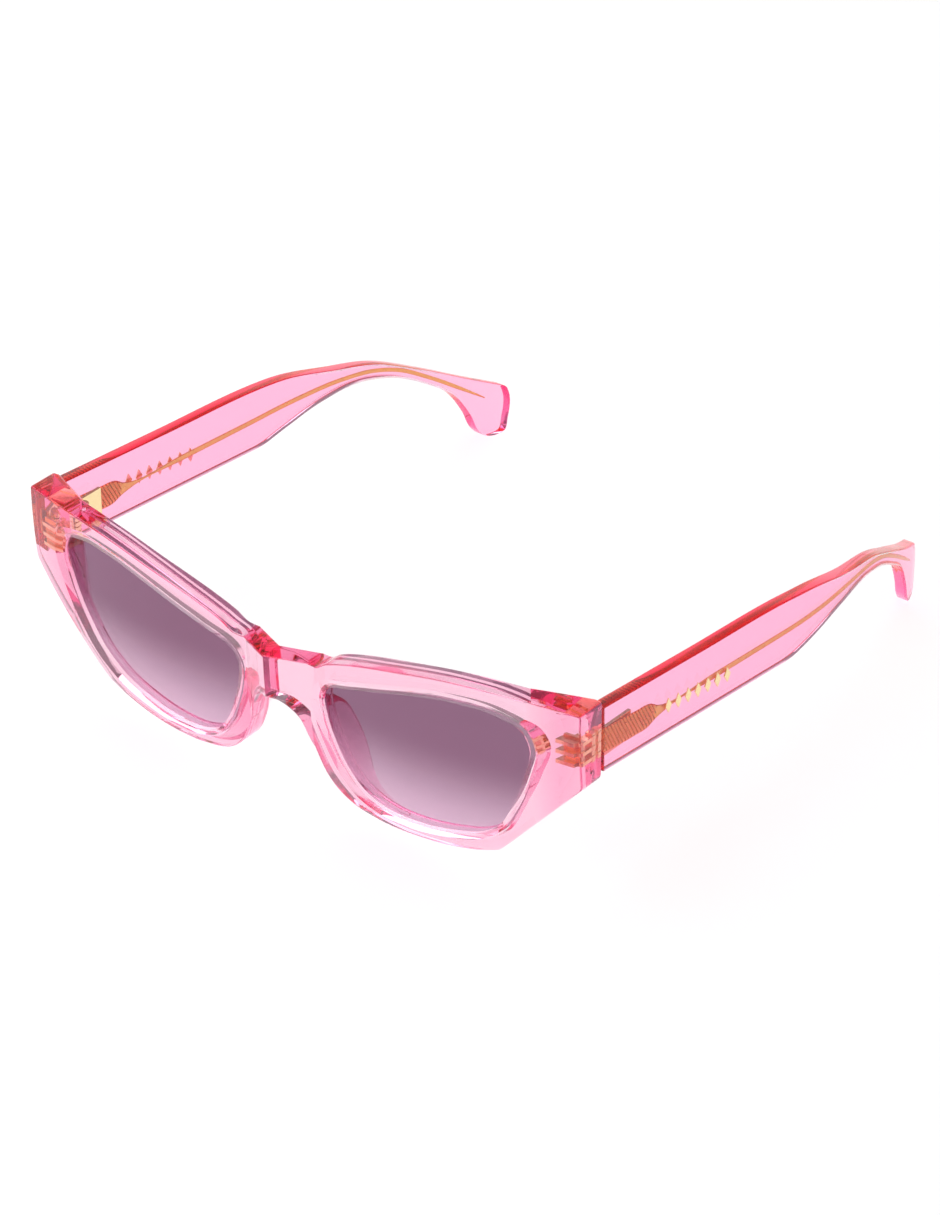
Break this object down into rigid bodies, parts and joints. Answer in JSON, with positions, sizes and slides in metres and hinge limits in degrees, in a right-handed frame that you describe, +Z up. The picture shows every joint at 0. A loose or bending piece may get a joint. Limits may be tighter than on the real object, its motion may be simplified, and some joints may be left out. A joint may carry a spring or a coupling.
{
  "type": "cat eye sunglasses",
  "caption": "Chunky angular cat eye sunglasses in translucent acetate, with gradient lenses and temples that fold on barrel hinges.",
  "frame": {"origin": "middle of the footprint, on the surface that the lower rims and the temple tips stand on", "axes": "+X to the wearer's left, -Y the way the lenses face, +Y from the front towards the temple tips, +Z up"},
  "size_m": [0.144, 0.1468, 0.0439],
  "materials": {
    "acetate": "polished translucent pink acetate",
    "lens": "polished, tint fading towards the bottom",
    "gold": "satin gold plate",
    "pale_gold": "polished pale gold plate"
  },
  "bodies": {
    "front_assembly": {"front": "acetate", "lens_left": "lens", "nose_pad_left": "acetate", "front_hinge_left": "pale_gold", "hinge_screw_left": "pale_gold", "lens_right": "lens", "nose_pad_right": "acetate", "front_hinge_right": "pale_gold", "hinge_screw_right": "pale_gold"},
    "temple_assembly_left": {"temple_hinge_left": "pale_gold", "temple_left": "acetate", "core_wire_left": "gold", "temple_ornament_left_1": "pale_gold", "temple_ornament_left_2": "pale_gold", "temple_ornament_left_3": "pale_gold", "temple_ornament_left_4": "pale_gold", "temple_ornament_left_5": "pale_gold", "temple_ornament_left_6": "pale_gold", "temple_ornament_left_7": "pale_gold"},
    "temple_assembly_right": {"temple_hinge_right": "pale_gold", "temple_right": "acetate", "core_wire_right": "gold", "temple_ornament_right_1": "pale_gold", "temple_ornament_right_2": "pale_gold", "temple_ornament_right_3": "pale_gold", "temple_ornament_right_4": "pale_gold", "temple_ornament_right_5": "pale_gold", "temple_ornament_right_6": "pale_gold", "temple_ornament_right_7": "pale_gold"}
  },
  "joints": [
    {"name": "temple_fold_left", "type": "hinge", "parent": "front_assembly", "child": "temple_assembly_left", "pos_m": [0.0664, -0.0531, 0.0323], "axis": [0, 0, 1], "range_deg": [0, 85]},
    {"name": "temple_fold_right", "type": "hinge", "parent": "front_assembly", "child": "temple_assembly_right", "pos_m": [-0.0664, -0.0531, 0.0323], "axis": [0, 0, -1], "range_deg": [0, 77]}
  ]
}
